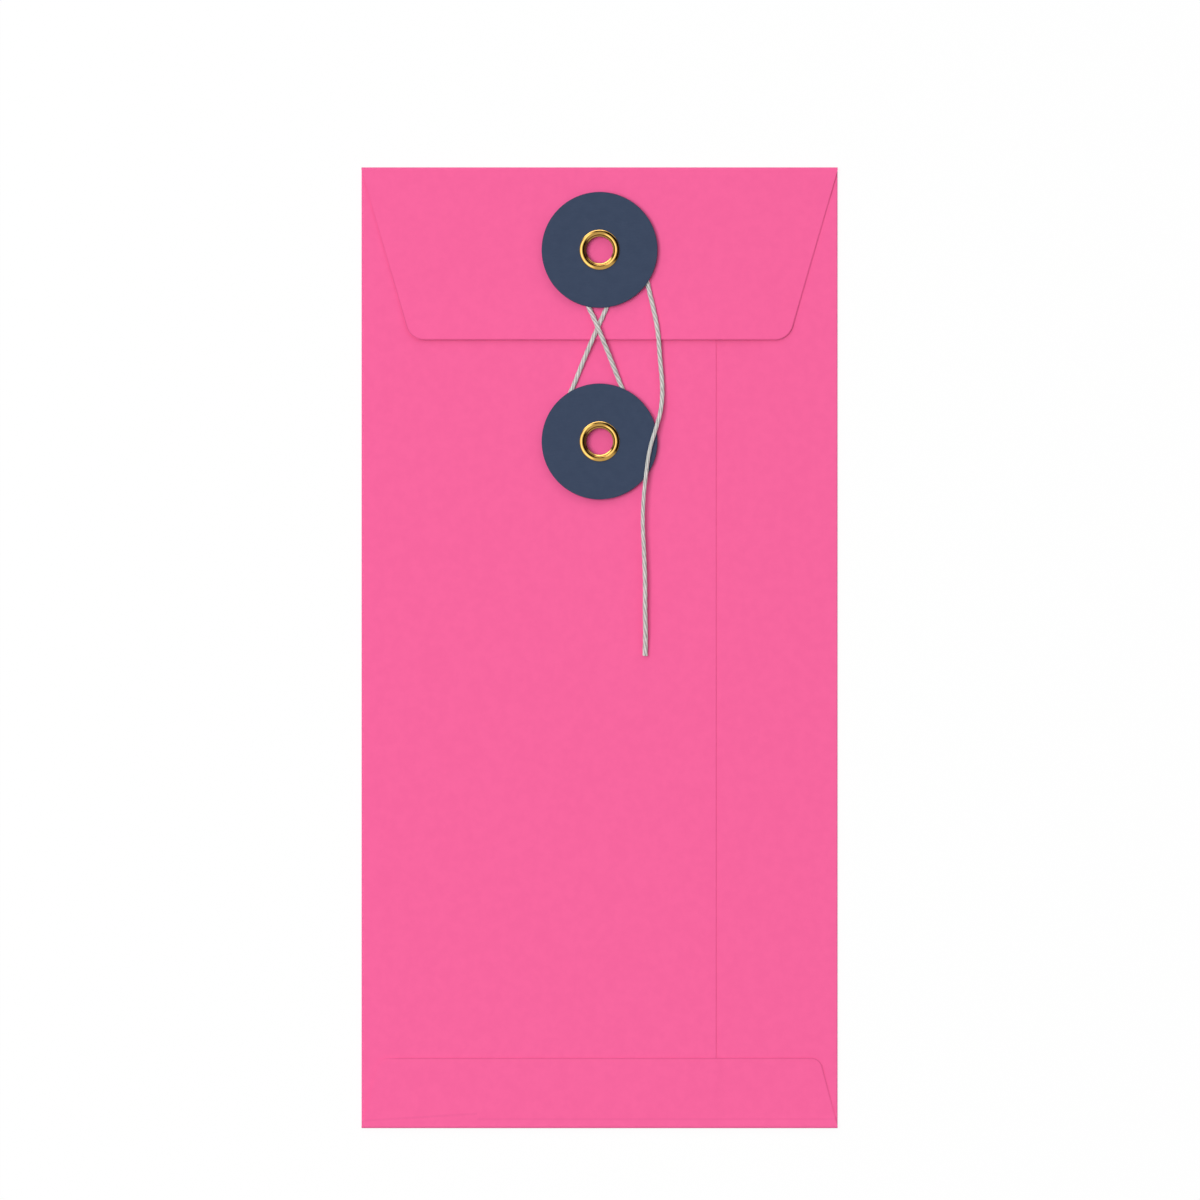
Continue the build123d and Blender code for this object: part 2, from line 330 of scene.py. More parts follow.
def seam_shade(n):
    """A mask of painted shade on the left panel along its cut edge at the seam, which deepens the
    seam's line.
    """
    place = n.add("ShaderNodeTexCoord").outputs["Object"]
    part = n.add("ShaderNodeSeparateXYZ", Vector=place).outputs
    return n.ramp(part["X"], seam - SEAM_SHADE_REACH, seam - SEAM_SHADE_FULL, 0.0, SEAM_SHADE_SHARE)


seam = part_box("left_side_panel")[1].x
pink_paper = pink_sheet("pink_paper")
cover(("address_panel", "right_side_panel"), pink_paper)
# The left panel carries painted shade along its edge at the seam.
cover(("left_side_panel",), pink_sheet("pink_left_panel", shaded_edge=seam_shade))

# The folds. The sheet is rolled round a straight crease at each side, at the foot and at the mouth,
# where half of the crease stays with the pocket and half turns with the flap. They run out to the
# corners, which are square.
PAPER = 0.13 * MM
FOLD_STEPS = 12
SHARP_ANGLE = math.radians(35.0)
ACROSS = Vector((1, 0, 0))
ALONG = Vector((0, 1, 0))
UP = Vector((0, 0, 1))

pocket_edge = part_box("address_panel")[1].x
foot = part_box("bottom_fold")[1].y
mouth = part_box("crease_flap_half")[0].y
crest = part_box("crease_flap_half")[0].z


def finished(name, bm, material):
    """Turns a bmesh into an object with smooth faces, sharp at its edges."""
    for face in bm.faces:
        face.smooth = True
    mesh = bpy.data.meshes.new(name)
    bm.to_mesh(mesh)
    bm.free()
    mesh.set_sharp_from_angle(angle=SHARP_ANGLE)
    mesh.materials.append(material)
    piece = bpy.data.objects.new(name, mesh)
    bpy.context.scene.collection.objects.link(piece)
    return piece


def rolled_fold(node, body, centre, radius, start, axis, half_length, sweep):
    """A strip of the sheet rolled round an axis, from a start direction through an angle."""
    bm = bmesh.new()
    corners = ((radius - PAPER, -1), (radius, -1), (radius, 1), (radius - PAPER, 1))
    places = [centre + start * reach + axis * half_length * end for reach, end in corners]
    bm.faces.new([bm.verts.new(place) for place in places])
    bmesh.ops.spin(
        bm,
        geom=bm.verts[:] + bm.edges[:] + bm.faces[:],
        cent=centre,
        axis=axis,
        angle=math.radians(sweep),
        steps=FOLD_STEPS,
    )
    bmesh.ops.recalc_face_normals(bm, faces=bm.faces)
    fold = finished(node + "_paper", bm, pink_paper)
    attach(fold, body)
    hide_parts(node)


for node, turn in (("left_fold", -ALONG), ("right_fold", ALONG)):
    low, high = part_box(node)
    radius = high.z / 2
    inner_x = high.x if turn == -ALONG else low.x
    side = Vector((inner_x, (foot + mouth) / 2, radius))
    rolled_fold(node, "pocket", side, radius, UP, turn, (mouth - foot) / 2, 180)
foot_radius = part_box("bottom_fold")[1].z / 2
foot_axis = Vector((0, foot, foot_radius))
rolled_fold("bottom_fold", "pocket", foot_axis, foot_radius, UP, ACROSS, pocket_edge, 180)
mouth_axis = Vector((0, mouth, crest))
rolled_fold("crease_pocket_half", "pocket", mouth_axis, crest, ALONG, -ACROSS, pocket_edge, 90)
rolled_fold("crease_flap_half", "flap", mouth_axis, crest, UP, -ACROSS, pocket_edge, 90)

# The glue. Thin dried films of white paste hold the seam and the bottom flap, hidden between the
# layers of paper. Right of the seam the film is as thin as elsewhere, because the flap dips there.
PASTE = (0.72, 0.68, 0.56, 1.0)
PASTE_PALE = (0.86, 0.83, 0.74, 1.0)
PASTE_STREAKS = 300.0
PASTE_ROUGHNESS = (0.35, 0.6)
FILM = 0.04 * MM

paste, n, shader = new_material("dried_paste")
place = n.add("ShaderNodeTexCoord").outputs["Object"]
streaks = n.add("ShaderNodeTexNoise", Vector=place, Scale=PASTE_STREAKS, Detail=3.0).outputs["Fac"]
n.put(n.mix(streaks, PASTE, PASTE_PALE), shader.inputs["Base Color"])
n.put(n.ramp(streaks, *CLOUD_RANGE, *PASTE_ROUGHNESS), shader.inputs["Roughness"])
cover(("side_seam_glue", "bottom_glue_left"), paste)


def thickened(bm, thickness):
    """Gives a sheet in a bmesh its thickness, upwards."""
    grown = bmesh.ops.extrude_face_region(bm, geom=bm.faces[:], use_keep_orig=True)
    raised = [item for item in grown["geom"] if isinstance(item, bmesh.types.BMVert)]
    bmesh.ops.translate(bm, verts=raised, vec=(0, 0, thickness))
    bmesh.ops.recalc_face_normals(bm, faces=bm.faces)


film_low, film_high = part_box("bottom_glue_right")
bm = bmesh.new()
corners = (
    (film_low.x, film_low.y),
    (film_high.x, film_low.y),
    (film_high.x, film_high.y),
    (film_low.x, film_high.y),
)
bm.faces.new([bm.verts.new((x, y, film_low.z)) for x, y in corners])
thickened(bm, FILM)
film = finished("bottom_glue_right_film", bm, paste)
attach(film, "pocket")
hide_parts("bottom_glue_right")

# The bottom flap. A low tapered flap of the same sheet, folded up and glued over the side panels.
# It dips right of the seam, where it lies on one layer less, and the panels' lower edges press a
# faint line through it, which painted shade also darkens. Its cut edge is darkened with painted
# shade, except on the left, where the light falls on the edge.
BOTTOM_TIP_INSET = 4.05 * MM
BOTTOM_CORNER_RUN = 1.95 * MM
EDGE_SHADE_WIDTH = 0.32 * MM
CORNER_STEPS = 12
HOLE_STEPS = 64
DIP_START = -0.5 * MM
DIP_RUN = 3.0 * MM
DIP_CUTS = 8
UNSHADED_EDGE_START = -51.0 * MM
UNSHADED_EDGE_RUN = 6.0 * MM
UNSHADED_EDGE_CUTS = 4
FOOT_LINE = -107.9 * MM
FOOT_TURN = -28.0 * MM
FOOT_SLOPE = 0.062
FOOT_STEP = 1.25 * MM
FOOT_LINE_FADE = (0.08 * MM, 0.40 * MM)

seam_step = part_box("left_side_panel")[1].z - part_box("right_side_panel")[1].z


def eased(value, start, run):
    """0 before the start, 1 after the run, and a smooth way between."""
    share = max(0.0, min(1.0, (value - start) / run))
    return share * share * (3 - 2 * share)


def cut_flap(node, fold, tip, tip_inset, corner_run, hole=None):
    """A flat tapered flap at its node's under side, with a mask of painted shade along its cut edge."""
    low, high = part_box(node)
    tip_half = pocket_edge - tip_inset
    bm = bmesh.new()
    corners = [(-pocket_edge, fold), (-tip_half, tip), (tip_half, tip), (pocket_edge, fold)]
    bm.faces.new([bm.verts.new((x, y, low.z)) for x, y in corners])
    bmesh.ops.bevel(
        bm,
        geom=[vertex for vertex in bm.verts if abs(vertex.co.y - tip) < corner_run],
        offset=corner_run,
        offset_type="ABSOLUTE",
        segments=CORNER_STEPS,
        profile=0.5,
        affect="VERTICES",
        material=-1,
    )
    # This mask lays painted shade along the cut edge, but not inside it or along the fold.
    cut_edge = bm.verts.layers.float.new("cut_edge")
    for vertex in bm.verts:
        vertex[cut_edge] = 1.0
    inner = bm.faces[:]
    bmesh.ops.inset_region(
        bm,
        faces=inner,
        thickness=EDGE_SHADE_WIDTH,
        use_boundary=True,
        use_even_offset=True,
    )
    for vertex in inner[0].verts:
        vertex[cut_edge] = 0.0
    for vertex in bm.verts:
        if abs(vertex.co.y - fold) < EDGE_SHADE_WIDTH / 2:
            vertex[cut_edge] = 0.0
    edges = inner[0].edges[:]
    bmesh.ops.delete(bm, geom=inner, context="FACES_ONLY")
    if hole:
        place = Matrix.Translation((0, hole[0], low.z))
        ring = bmesh.ops.create_circle(bm, radius=hole[1], segments=HOLE_STEPS, matrix=place)
        edges += list({edge for vertex in ring["verts"] for edge in vertex.link_edges})
    bmesh.ops.triangle_fill(bm, use_beauty=True, edges=edges)
    return bm


def cut_across(bm, places, normal):
    """Divides a sheet along parallel lines, so that it can bend there."""
    for place in places:
        geometry = bm.verts[:] + bm.edges[:] + bm.faces[:]
        bmesh.ops.bisect_plane(bm, geom=geometry, plane_co=place, plane_no=normal)


def between(start, run, cuts):
    return [start + run * cut / cuts for cut in range(cuts + 1)]


def foot_line(n):
    """A mask of the line that the side panels' lower edges press through the bottom flap."""
    place = n.add("ShaderNodeTexCoord").outputs["Object"]
    part = n.add("ShaderNodeSeparateXYZ", Vector=place).outputs
    left = n.math("LESS_THAN", part["X"], FOOT_TURN)
    slope = n.math("MULTIPLY_ADD", part["X"], FOOT_SLOPE, FOOT_STEP - FOOT_TURN * FOOT_SLOPE)
    level = n.math("MULTIPLY_ADD", left, slope, FOOT_LINE)
    off = n.math("ABSOLUTE", n.math("SUBTRACT", part["Y"], level))
    return n.ramp(off, *FOOT_LINE_FADE, 1.0, 0.0)


low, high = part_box("bottom_flap")
bm = cut_flap("bottom_flap", low.y, high.y, BOTTOM_TIP_INSET, BOTTOM_CORNER_RUN)
cut_across(bm, [(x, 0, 0) for x in between(seam + DIP_START, DIP_RUN, DIP_CUTS)], (1, 0, 0))
cut_across(bm, [(0, y, 0) for y in between(low.y, DIP_RUN, DIP_CUTS)], (0, 1, 0))
# On the left the painted shade along the cut edge fades out, where the light falls on the edge.
unshaded_edge = between(UNSHADED_EDGE_START, UNSHADED_EDGE_RUN, UNSHADED_EDGE_CUTS)
cut_across(bm, [(x, 0, 0) for x in unshaded_edge], (1, 0, 0))
cut_edge = bm.verts.layers.float["cut_edge"]
for vertex in bm.verts:
    across = eased(vertex.co.x, seam + DIP_START, DIP_RUN)
    vertex.co.z -= seam_step * across * eased(vertex.co.y, low.y, DIP_RUN)
    vertex[cut_edge] *= eased(vertex.co.x, UNSHADED_EDGE_START, UNSHADED_EDGE_RUN)
thickened(bm, high.z - low.z)
bottom_paper = finished("bottom_flap_paper", bm, pink_sheet("pink_bottom_flap", foot_line))
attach(bottom_paper, "pocket")
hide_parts("bottom_flap")

# The closing flap. The tapered end of the same sheet, folded over the mouth of the pocket and
# punched for the upper eyelet. Its tip springs up a little, and its right side settles down on
# the thinner side of the pocket.
FLAP_TIP_INSET = 11.2 * MM
FLAP_CORNER_RUN = 3.03 * MM
FLAP_HOLE_RADIUS = 3.43 * MM
FLAP_SPRING = 0.50 * MM
SPRING_START = 84.0 * MM
SPRING_CUTS = 14
SETTLE_DEPTH = 0.25 * MM
SETTLE_RUN = 20.0 * MM
SETTLED_SPRING = 0.5
SETTLE_DEPTH_RUN = 10.0 * MM
SETTLE_CUTS = 8

flap_low, flap_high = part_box("closing_flap")
upper_y = (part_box("upper_disc")[0].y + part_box("upper_disc")[1].y) / 2


def flap_rise(x, y):
    """How far the flap has sprung up from its flat shape, or settled below it."""
    sprung = max(0.0, min(1.0, (SPRING_START - y) / (SPRING_START - flap_low.y)))
    right = eased(x, seam, SETTLE_RUN)
    settled = SETTLE_DEPTH * right * eased(flap_high.y - y, 0, SETTLE_DEPTH_RUN)
    return FLAP_SPRING * sprung ** 2 * (1 - right * (1 - SETTLED_SPRING)) - settled


hole = (upper_y, FLAP_HOLE_RADIUS)
bm = cut_flap("closing_flap", flap_high.y, flap_low.y, FLAP_TIP_INSET, FLAP_CORNER_RUN, hole)
spring_run = flap_low.y - SPRING_START
cut_across(bm, [(0, y, 0) for y in between(SPRING_START, spring_run, SPRING_CUTS)], (0, 1, 0))
cut_across(bm, [(0, y, 0) for y in between(flap_high.y, -SETTLE_DEPTH_RUN, SETTLE_CUTS)], (0, 1, 0))
cut_across(bm, [(x, 0, 0) for x in between(seam, SETTLE_RUN, SETTLE_CUTS)], (1, 0, 0))
for vertex in bm.verts:
    vertex.co.z += flap_rise(vertex.co.x, vertex.co.y)
thickened(bm, flap_high.z - flap_low.z)
# The pink paper darkens this flap's cut edge with painted shade.
flap_paper = finished("closing_flap_paper", bm, pink_paper)
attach(flap_paper, "flap")
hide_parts("closing_flap")

# The discs. Two round discs punched from navy card, each loose on its eyelet with room for the
# string under it. Punching rounds the upper edge a little more than the lower one.
NAVY = (0.0395, 0.0575, 0.1025, 1.0)
NAVY_PALE = (0.0440, 0.0630, 0.1105, 1.0)
CARD_FIBRE = 3400.0
CARD_FIBRE_RANGE = (0.52, 0.80)
CARD_FIBRE_SHARE = 0.35
CARD_TOOTH = 0.4
CARD_ROUGHNESS = (0.75, 0.92)
CARD_GLOSS = 0.25
DISC_UPPER_EDGE = 0.12 * MM
DISC_LOWER_EDGE = 0.06 * MM
DISC_FLAT = 0.35 * MM
DISC_BORE_RADIUS = 3.45 * MM
DISC_STEPS = 192
WELD = 0.0005 * MM


def arc(centre, radius, first, last, steps=6, height=None):
    """Points of an arc in the plane of a spun outline, from one angle in degrees to another."""
    height = height or radius
    angles = [math.radians(first + (last - first) * step / steps) for step in range(steps + 1)]
    return [(centre[0] + radius * math.cos(a), centre[1] + height * math.sin(a)) for a in angles]


def spun_piece(name, outline, centre, steps, material):
    """A ring spun about an upright axis from a closed outline of (radius, height) points."""
    bm = bmesh.new()
    rim = [bm.verts.new((radius, 0, height)) for radius, height in outline]
    edges = [bm.edges.new(pair) for pair in zip(rim, rim[1:] + rim[:1])]
    bmesh.ops.spin(
        bm,
        geom=rim + edges,
        cent=(0, 0, 0),
        axis=(0, 0, 1),
        angle=2 * math.pi,
        steps=steps,
        use_merge=True,
    )
    bmesh.ops.remove_doubles(bm, verts=bm.verts, dist=WELD)
    bmesh.ops.recalc_face_normals(bm, faces=bm.faces)
    bmesh.ops.translate(bm, verts=bm.verts, vec=centre)
    return finished(name, bm, material)


navy_card, n, shader = new_material("navy_card")
stock = fibre_stock_node(n, CARD_FIBRE)
tint = n.mix(n.ramp(stock["Cloud"], *CLOUD_RANGE), NAVY, NAVY_PALE)
pale = n.math("MULTIPLY", n.ramp(stock["Tooth"], *CARD_FIBRE_RANGE), CARD_FIBRE_SHARE)
tint = n.mix(pale, tint, NAVY_PALE)
n.put(tint, shader.inputs["Base Color"])
n.put(n.ramp(stock["Tooth"], *TOOTH_RANGE, *CARD_ROUGHNESS), shader.inputs["Roughness"])
n.put(CARD_GLOSS, shader.inputs["Specular IOR Level"])
bump = n.add("ShaderNodeBump", Strength=CARD_TOOTH, Distance=TOOTH_DEPTH, Height=stock["Tooth"])
n.put(bump.outputs[0], shader.inputs["Normal"])

for name in ("upper_disc", "lower_disc"):
    low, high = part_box(name)
    radius = (high.x - low.x) / 2
    outline = [(DISC_BORE_RADIUS, low.z), (radius - DISC_FLAT, low.z)]
    outline += arc((radius - DISC_LOWER_EDGE, low.z + DISC_LOWER_EDGE), DISC_LOWER_EDGE, -90, 0)
    outline += arc((radius - DISC_UPPER_EDGE, high.z - DISC_UPPER_EDGE), DISC_UPPER_EDGE, 0, 90)
    outline += [(radius - DISC_FLAT, high.z), (DISC_BORE_RADIUS, high.z)]
    centre = Vector(((low.x + high.x) / 2, (low.y + high.y) / 2, 0))
    disc = spun_piece(name + "_card", outline, centre, DISC_STEPS, navy_card)
    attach(disc, name)
    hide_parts(name)

# The eyelets. Each is drawn from one piece of thin brass tube: a curled head on the disc, a small
# funnel that leads into the barrel and a clinch rolled out under the paper. The brass is darkened
# with painted shade in the barrel and in the groove round the funnel.
BRASS = (0.94, 0.565, 0.15, 1.0)
BRASS_DULL = (0.85, 0.48, 0.12, 1.0)
# This near black is painted shade, for the barrel, the funnel and the groove round it.
BRASS_SHADE = (0.10, 0.055, 0.015, 1.0)
SMEAR_SCALE = 900.0
SMEAR_RANGE = (0.35, 0.75)
BRASS_ROUGHNESS = (0.05, 0.11)
DENT_SCALE = 1800.0
DENT_STRENGTH = 0.10
DENT_DEPTH = 0.01 * MM
BORE_RADIUS = 3.15 * MM
BORE_INSET = 0.10 * MM
FUNNEL_WIDTH = 0.22 * MM
FUNNEL_SLOPE = math.radians(38.5)
FUNNEL_EDGE = 0.10 * MM
FUNNEL_SHADE = 0.30
BARREL_SHADE = 0.95
BARREL_EDGE = 0.05 * MM
GROOVE = 0.05 * MM
GROOVE_REACH = 0.13 * MM
BRASS_GROOVE_SHADE = 0.95
BRASS_WALL = 0.25 * MM
HEAD_HEIGHT = 0.5 * MM
HEAD_SLOPE = math.radians(45.0)
HEAD_CLEARANCE = 0.05 * MM
CLINCH_RADIUS = 4.4 * MM
UNDERSIDE_STEPS = 12
DOME_STEPS = 20
CURL_STEPS = 24
CLINCH_STEPS = 20
EYELET_STEPS = 160

lower_y = (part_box("lower_disc")[0].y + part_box("lower_disc")[1].y) / 2
narrow = BORE_RADIUS - BORE_INSET
funnel = BORE_RADIUS + FUNNEL_WIDTH
barrel = BORE_RADIUS + BRASS_WALL

brass, n, shader = new_material("polished_brass")
place = n.add("ShaderNodeTexCoord").outputs["Object"]
smears = n.add("ShaderNodeTexNoise", Vector=place, Scale=SMEAR_SCALE, Detail=3.0).outputs["Fac"]
tint = n.mix(n.ramp(smears, *SMEAR_RANGE), BRASS, BRASS_DULL)
part = n.add("ShaderNodeSeparateXYZ", Vector=place).outputs
for axis_y in (upper_y, lower_y):
    along_sq = n.math("POWER", n.math("SUBTRACT", part["Y"], axis_y), 2)
    off_axis = n.math("SQRT", n.math("ADD", n.math("POWER", part["X"], 2), along_sq))
    # Painted shade darkens the brass in the barrel and funnel, and in the groove round the funnel.
    inside_shade = n.ramp(off_axis, narrow, narrow + BARREL_EDGE, BARREL_SHADE, FUNNEL_SHADE)
    inside_shade = n.math("MULTIPLY", inside_shade, n.math("LESS_THAN", off_axis, funnel))
    off_groove = n.math("ABSOLUTE", n.math("SUBTRACT", off_axis, funnel + GROOVE))
    groove = n.ramp(off_groove, GROOVE, GROOVE_REACH, BRASS_GROOVE_SHADE, 0.0)
    tint = n.mix(n.math("MAXIMUM", inside_shade, groove), tint, BRASS_SHADE)
n.put(tint, shader.inputs["Base Color"])
n.put(1.0, shader.inputs["Metallic"])
n.put(n.ramp(smears, *CLOUD_RANGE, *BRASS_ROUGHNESS), shader.inputs["Roughness"])
dents = n.add("ShaderNodeTexNoise", Vector=place, Scale=DENT_SCALE, Detail=2.0).outputs["Fac"]
bump = n.add("ShaderNodeBump", Strength=DENT_STRENGTH, Distance=DENT_DEPTH, Height=dents)
n.put(bump.outputs[0], shader.inputs["Normal"])

for name, body, carrier in (
    ("upper_eyelet", "flap", "closing_flap"),
    ("lower_eyelet", "pocket", "left_side_panel"),
):
    low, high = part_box(name)
    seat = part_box(carrier)[0].z
    head_radius = (high.x - low.x) / 2
    head_middle = (funnel + head_radius) / 2
    curl = head_radius - head_middle
    dome = curl / math.sin(HEAD_SLOPE)
    dome_first = 90 - math.degrees(HEAD_SLOPE)
    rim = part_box(name.replace("eyelet", "disc"))[1].z + HEAD_CLEARANCE
    edge_reach = FUNNEL_EDGE * (1 - math.sin(FUNNEL_SLOPE))
    edge_z = rim - (funnel - narrow - edge_reach) * math.tan(FUNNEL_SLOPE)
    edge_z -= FUNNEL_EDGE * math.cos(FUNNEL_SLOPE)
    clinch_middle = (narrow + CLINCH_RADIUS) / 2
    outline = [(CLINCH_RADIUS, seat), (barrel, seat), (barrel, rim)]
    under = HEAD_HEIGHT - BRASS_WALL
    outline += arc((head_middle, rim), curl - BRASS_WALL, 180, 0, UNDERSIDE_STEPS, under)[1:]
    outline += [(head_radius, rim)]
    outline += arc((head_middle, rim + HEAD_HEIGHT - dome), dome, dome_first, 90, DOME_STEPS)
    outline += arc((head_middle, rim), curl, 90, 180, CURL_STEPS, HEAD_HEIGHT)[1:]
    outline += arc((narrow + FUNNEL_EDGE, edge_z), FUNNEL_EDGE, 90 + math.degrees(FUNNEL_SLOPE), 180)
    clinch = CLINCH_RADIUS - clinch_middle
    outline += arc((clinch_middle, seat), clinch, 180, 360, CLINCH_STEPS, seat - low.z)[:-1]
    centre = Vector(((low.x + high.x) / 2, (low.y + high.y) / 2, 0))
    eyelet = spun_piece(name + "_brass", outline, centre, EYELET_STEPS, brass)
    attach(eyelet, body)
    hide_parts(name)

# The string. Soft off-white cotton, four plies laid together, about a millimetre thick. Its end
# is wound round the upper eyelet, then it runs down, round the lower disc, back over itself,
# round under the upper disc and out into a loose tail with a cut end.
COTTON = (0.765, 0.752, 0.722, 1.0)
COTTON_SHADE = (0.300, 0.302, 0.285, 1.0)
COTTON_FIBRES = (170.0, 7.0, 1.0)
COTTON_FIBRE_TURN = 0.25
COTTON_FIBRE_RANGE = (0.36, 0.62)
COTTON_FIBRE_SHADE = 0.30
COTTON_GROOVE_SHADE = 0.80
SLUB_SCALE = 700.0
SLUB_RANGE = (0.4, 0.7)
SLUB_SHARE = 0.15
COTTON_ROUGHNESS = (0.85, 1.0)
COTTON_GLOSS = 0.15
COTTON_SHEEN = 0.2
COTTON_NAP = 0.6
COTTON_NAP_DEPTH = 0.04 * MM
STRING = 1.0 * MM
PLY_RADIUS = 0.285 * MM
PLY_OFFSET = 0.215 * MM
PLIES = 4
LAY_LENGTH = 7.8 * MM
TAIL_LAY_LENGTH = 9.6 * MM
TAIL_LOOSE_FROM = 55.0 * MM
TAIL_LOOSE_RUN = 25.0 * MM
GROOVE_DEPTH = 0.18
FULLNESS = ((0, 1.25), (3, 1.20), (9, 1.12), (20, 1.05), (30, 0.93), (48, 0.90), (57, 1.04), (80, 1.08))
TIE_TURNS = 1.5
TIE_RADIUS = 3.98 * MM
TIE_PITCH = 1.45 * MM
TIE_POINTS = 16
LINE_STEPS = 24
PLY_STEPS = 4
POINT_GAP = 0.24 * MM
SPLAY_LENGTH = 1.6 * MM
SPLAY = 0.06 * MM
CLEARANCE = 0.03 * MM
CROSSING_Y = 73.3 * MM
CROSSING_LIFT = 1.04 * STRING

on_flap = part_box("closing_flap")[1].z + STRING / 2 + CLEARANCE
on_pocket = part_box("left_side_panel")[1].z + STRING / 2 + CLEARANCE
over_tip = on_flap + FLAP_SPRING
over_strand = on_flap + flap_rise(0, CROSSING_Y) + CROSSING_LIFT
over_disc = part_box("lower_disc")[1].z + STRING / 2 + 2 * CLEARANCE

tie_points = []
for step in range(int(TIE_TURNS * TIE_POINTS) + 1):
    turn = step / TIE_POINTS
    angle = math.pi - 2 * math.pi * turn
    radius = TIE_RADIUS + TIE_PITCH * max(0.0, turn - 0.5)
    tie_points.append(Vector((radius * math.cos(angle), upper_y + radius * math.sin(angle), on_flap)))

# Each place: across in mm, the disc's middle that it is measured from, up from there in mm, height.
route = [
    (5.40, upper_y, -3.4, on_flap),
    (4.25, upper_y, -7.6, on_flap),
    (1.75, upper_y, -12.8, on_flap + 0.05 * MM),
    (-2.05, upper_y, -21.4, over_tip + 0.12 * MM),
    (-3.70, lower_y, 18.5, on_pocket + 0.30 * MM),
    (-6.10, lower_y, 12.4, on_pocket),
    (-8.90, lower_y, 6.4, on_pocket),
    (-10.60, lower_y, 0.8, on_pocket),
    (-9.70, lower_y, -4.9, on_pocket),
    (-5.90, lower_y, -9.0, on_pocket),
    (-0.40, lower_y, -10.5, on_pocket),
    (5.00, lower_y, -8.8, on_pocket),
    (8.60, lower_y, -4.6, on_pocket),
    (9.20, lower_y, 1.0, on_pocket),
    (7.50, lower_y, 6.6, on_pocket),
    (5.00, lower_y, 12.5, on_pocket),
    (2.40, lower_y, 19.2, (on_pocket + over_strand) / 2),
    (0.10, upper_y, -18.9, over_strand),
    (-0.90, upper_y, -16.55, over_strand),
    (-2.15, upper_y, -13.75, on_flap + 0.15 * MM),
    (-4.90, upper_y, -8.4, on_flap),
    (-7.60, upper_y, -3.6, on_flap),
    (-8.50, upper_y, 2.0, on_flap),
    (-6.50, upper_y, 7.2, on_flap),
    (-1.90, upper_y, 10.5, on_flap),
    (3.70, upper_y, 10.6, on_flap),
    (8.40, upper_y, 7.5, on_flap),
    (9.90, upper_y, 2.4, on_flap),
    (10.20, upper_y, -2.8, on_flap),
    (11.00, upper_y, -8.0, on_flap),
    (12.30, upper_y, -13.2, on_flap + 0.10 * MM),
    (13.40, upper_y, -18.8, over_tip),
    (13.80, upper_y, -24.8, on_pocket + 0.60 * MM),
    (14.42, lower_y, 12.8, on_pocket + 0.35 * MM),
    (14.18, lower_y, 7.4, on_pocket + 1.20 * MM),
    (12.84, lower_y, 2.8, over_disc),
    (11.32, lower_y, -2.0, over_disc),
    (10.48, lower_y, -8.6, over_disc),
    (9.96, lower_y, -13.8, over_disc - 0.10 * MM),
    (9.86, lower_y, -19.4, on_pocket + 1.50 * MM),
    (10.18, lower_y, -25.6, on_pocket + 1.40 * MM),
    (10.44, lower_y, -32.0, on_pocket + 1.28 * MM),
    (10.38, lower_y, -38.6, on_pocket + 1.08 * MM),
    (10.55, lower_y, -44.4, on_pocket + 0.70 * MM),
    (10.40, lower_y, -49.2, on_pocket + 0.06 * MM),
]
route_points = tie_points + [Vector((x * MM, y + up * MM, z)) for x, y, up, z in route]


def smooth_line(points):
    """Points along a smooth NURBS line with the given points as its control points."""
    curve = bpy.data.curves.new("string_line", "CURVE")
    curve.dimensions = "3D"
    curve.resolution_u = LINE_STEPS
    spline = curve.splines.new("NURBS")
    spline.points.add(len(points) - 1)
    for point, place in zip(spline.points, points):
        point.co = (*place, 1.0)
    spline.order_u = 3
    spline.use_endpoint_u = True
    holder = bpy.data.objects.new("string_line", curve)
    mesh = bpy.data.meshes.new_from_object(holder)
    line = [vertex.co.copy() for vertex in mesh.vertices]
    bpy.data.meshes.remove(mesh)
    bpy.data.curves.remove(curve)
    return line


def evenly_spaced(line, gap):
    """The line again, with points the same distance apart."""
    spaced = [line[0]]
    over = 0.0
    for first, second in zip(line, line[1:]):
        run = (second - first).length
        while over + run >= gap:
            share = (gap - over) / run
            first = first.lerp(second, share)
            spaced.append(first)
            run = (second - first).length
            over = 0.0
        over += run
    return spaced


def fullness(from_end):
    """How thick the string is, as a share of its usual thickness, a distance from its cut end."""
    for (near, first), (far, second) in zip(FULLNESS, FULLNESS[1:]):
        if from_end < far * MM:
            return first + (second - first) * (from_end / MM - near) / (far - near)
    return FULLNESS[-1][1]


def ply_lines(line, full):
    """The centrelines of the plies, laid round the string's own line. The tail is laid looser, and
    its cut end splays."""
    plies = [[] for ply in range(PLIES)]
    side = Vector((0, 0, 1))
    turns = 0.0
    for index, place in enumerate(line):
        ahead = line[min(index + 1, len(line) - 1)]
        behind = line[max(index - 1, 0)]
        along = (ahead - behind).normalized()
        side = (side - along * side.dot(along)).normalized()
        across = along.cross(side)
        from_end = POINT_GAP * (len(line) - 1 - index)
        loose = eased(-from_end, -TAIL_LOOSE_FROM, TAIL_LOOSE_RUN)
        turns += POINT_GAP / (LAY_LENGTH + (TAIL_LAY_LENGTH - LAY_LENGTH) * loose)
        spread = PLY_OFFSET * full[index] + SPLAY * max(0.0, 1 - from_end / SPLAY_LENGTH) ** 2
        for ply, laid in enumerate(plies):
            angle = -2 * math.pi * (turns + ply / PLIES)
            laid.append(place + (side * math.cos(angle) + across * math.sin(angle)) * spread)
    return plies


